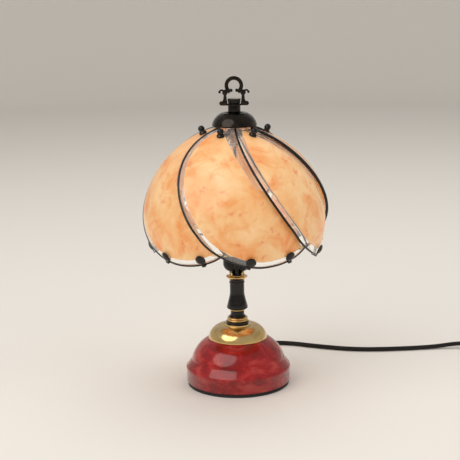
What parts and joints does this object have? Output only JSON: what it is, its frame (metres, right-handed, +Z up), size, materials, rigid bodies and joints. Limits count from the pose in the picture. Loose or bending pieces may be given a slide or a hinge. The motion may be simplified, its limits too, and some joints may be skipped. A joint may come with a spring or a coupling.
{
  "type": "rotating motion lamp",
  "caption": "Small table lamp: swirl art-glass shade of overlapping panels that turns on a central pivot over a turned column and dome base, with cord, in-line switch and plug.",
  "frame": {"origin": "centre of the base's underside, on the surface that the lamp stands on", "axes": "+Z up along the column and the shade's axis, -Y towards the front, +X to the right"},
  "size_m": [0.4884, 0.2334, 0.3355],
  "materials": {
    "red_enamel": "glossy mottled red enamel",
    "brass": "polished",
    "black_gloss": "glossy black",
    "dark_bronze": "dark polished bronze",
    "swirl_glass": "marbled cream and amber art glass",
    "steel": "zinc plated",
    "iron": "rough",
    "rubber": "matt",
    "black_phenolic": "satin black",
    "porcelain": "glazed white",
    "contact_brass": "plated",
    "opal_glass": "frosted, lit",
    "cord_plastic": "satin dark brown",
    "rocker_plastic": "satin black"
  },
  "bodies": {
    "lamp": {"base_cover": "steel", "base_shell": "red_enamel", "base_weight": "iron", "bottom_nut": "steel", "bottom_washer": "steel", "brass_collar": "brass", "brass_dish": "brass", "brass_gallery": "brass", "brass_rings": "brass", "bulb_cap": "contact_brass", "bulb_glass": "opal_glass", "centre_contact": "contact_brass", "coil_tie": "cord_plastic", "column": "black_gloss", "column_spool": "black_gloss", "cord_after_switch": "cord_plastic", "cord_coil": "cord_plastic", "cord_gland": "cord_plastic", "cord_tail": "cord_plastic", "dome_cap": "brass", "foot_ring": "rubber", "harp_bow": "brass", "harp_ferrules": "brass", "harp_saddle": "steel", "lampholder_cup": "black_phenolic", "lampholder_insert": "porcelain", "lampholder_shell": "black_phenolic", "lead_wires": "cord_plastic", "lock_ring": "black_phenolic", "neck_band": "black_gloss", "plug_body": "cord_plastic", "plug_pins": "contact_brass", "power_cord": "cord_plastic", "screw_shell": "contact_brass", "switch_base": "cord_plastic", "switch_cover": "cord_plastic", "swivel_stud": "steel", "threaded_tube": "steel"},
    "shade": {"crown_hub": "steel", "hub_nut": "steel", "crown_spider": "steel", "crown_cap": "dark_bronze", "cap_neck": "dark_bronze", "fluted_cup": "dark_bronze", "loop_finial": "dark_bronze", "panel_edging": "black_gloss", "panel_knobs": "black_gloss", "panel_screws": "steel", "panel_washers": "rubber", "clip_buttons": "black_gloss", "clip_hooks": "brass", "tie_ring": "brass", "glass_panel_1": "swirl_glass", "glass_panel_2": "swirl_glass", "glass_panel_3": "swirl_glass", "glass_panel_4": "swirl_glass", "glass_panel_5": "swirl_glass", "glass_panel_6": "swirl_glass"},
    "rocker": {"switch_rocker": "rocker_plastic"}
  },
  "joints": [
    {"name": "shade_spin", "type": "hinge", "parent": "lamp", "child": "shade", "pos_m": [0, 0, 0.27], "axis": [0, 0, 1], "continuous": true},
    {"name": "switch_rock", "type": "hinge", "parent": "lamp", "child": "rocker", "pos_m": [0.305, 0.108, 0.0142], "axis": [0, 1, 0], "range_deg": [-7, 7]}
  ]
}
